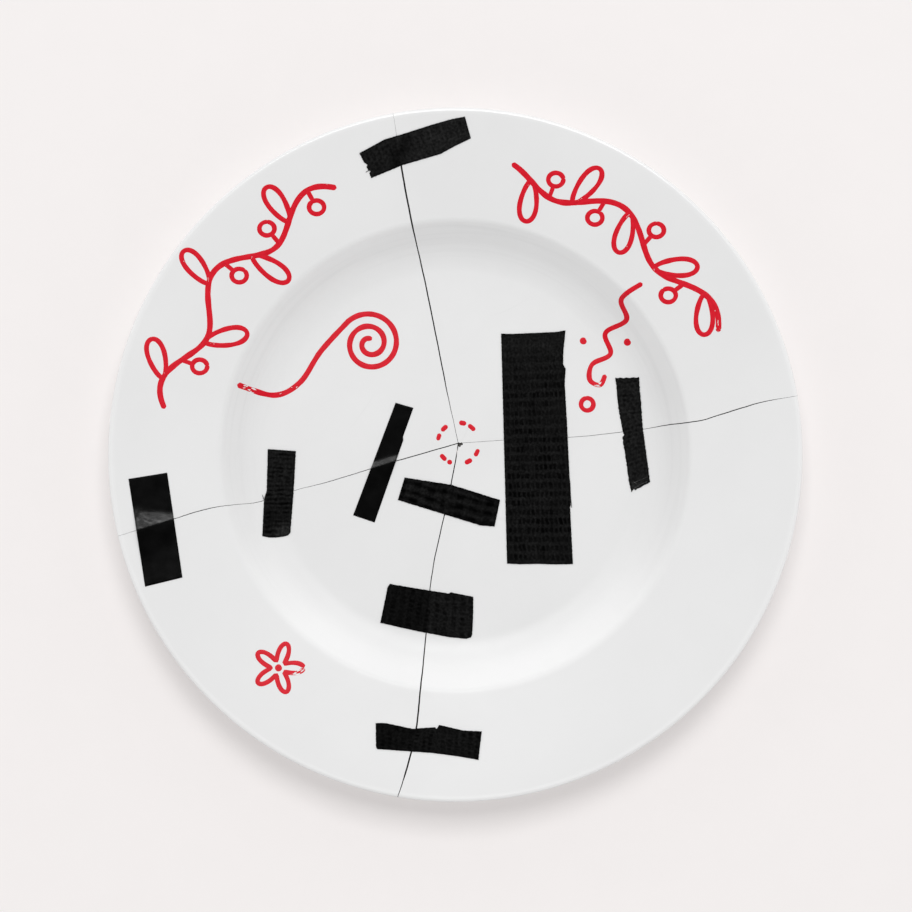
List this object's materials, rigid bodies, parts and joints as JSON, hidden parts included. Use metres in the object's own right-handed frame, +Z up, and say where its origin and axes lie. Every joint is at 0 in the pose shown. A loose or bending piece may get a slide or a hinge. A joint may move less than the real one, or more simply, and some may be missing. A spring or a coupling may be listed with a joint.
{
  "type": "broken plate",
  "caption": "Broken white porcelain dinner plate with a wide rim, its shards laid back together and held across the cracks by strips of black cloth and vinyl tape.",
  "frame": {"origin": "on the table, under the middle of the foot ring", "axes": "+Z up out of the well; +Y towards the crack that runs to the top of the picture, +X to the picture's right"},
  "size_m": [0.267, 0.267, 0.0232],
  "materials": {
    "porcelain": "white gloss glaze, bare white body on the broken faces and the foot ring",
    "cloth_tape": "black woven cloth tape, low sheen, weave showing through",
    "vinyl_tape": "black smooth vinyl tape, satin gloss"
  },
  "bodies": {
    "root": {"upper_left_shard": "porcelain", "upper_right_shard": "porcelain", "lower_left_shard": "porcelain", "lower_right_shard": "porcelain", "top_rim_tape": "cloth_tape", "left_rim_tape": "vinyl_tape", "left_well_tape": "cloth_tape", "slanted_tape": "vinyl_tape", "centre_tape": "cloth_tape", "wide_tape": "cloth_tape", "narrow_tape": "cloth_tape", "lower_well_tape": "cloth_tape", "bottom_rim_tape": "cloth_tape"}
  },
  "joints": []
}
